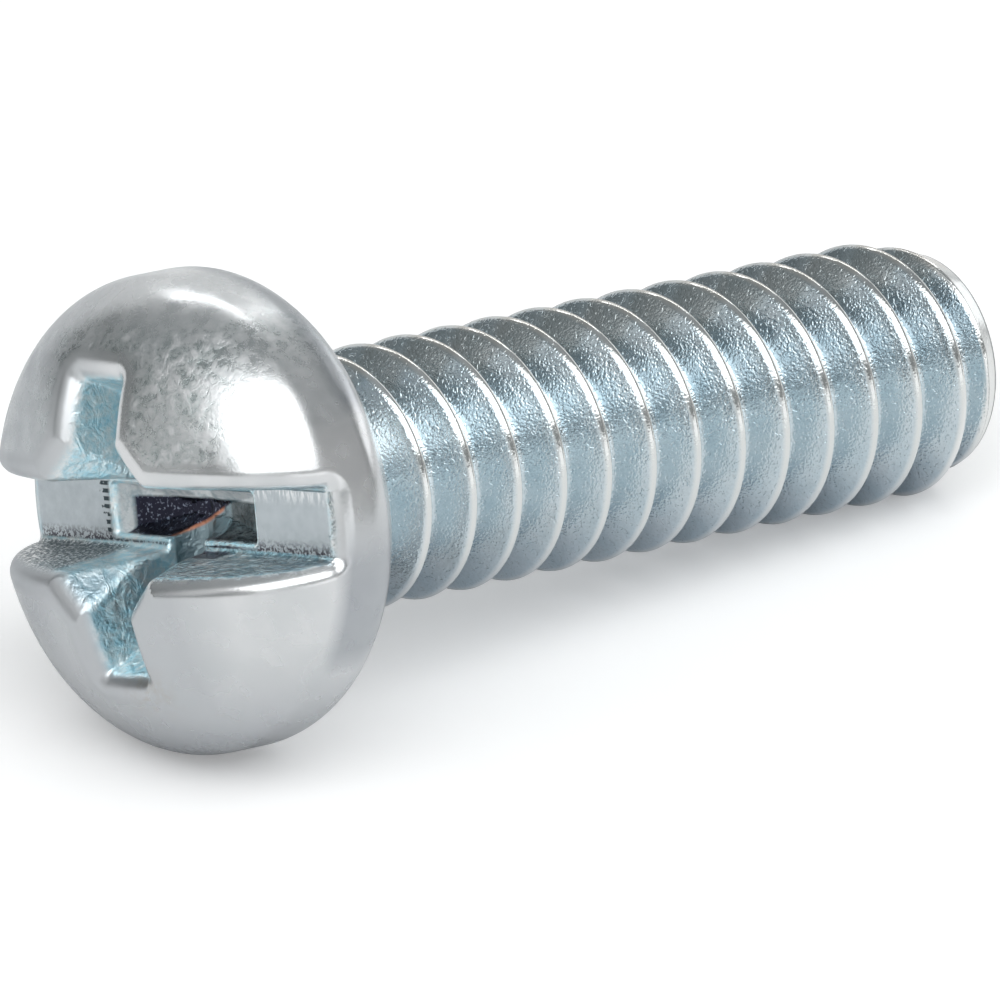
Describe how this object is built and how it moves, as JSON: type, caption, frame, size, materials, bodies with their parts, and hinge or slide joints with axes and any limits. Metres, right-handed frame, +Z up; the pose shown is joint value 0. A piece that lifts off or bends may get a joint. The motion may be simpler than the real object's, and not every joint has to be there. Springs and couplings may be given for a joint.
{
  "type": "machine screw",
  "caption": "Zinc-plated steel round-head machine screw with a slotted cross recess and a full-length right-hand coarse thread, lying on its side.",
  "frame": {"origin": "on the surface the screw rests on, under the middle of its bounding box", "axes": "+Z up from that surface, +X along the screw as seen from above, from the head towards the tip, which dips; +Y across it"},
  "size_m": [0.02, 0.0086, 0.0086],
  "materials": {
    "zinc_plated_steel": "bright zinc plate, satin and finely mottled, with a thin bright line along each crest"
  },
  "bodies": {
    "root": {"machine_screw": "zinc_plated_steel"}
  },
  "joints": []
}
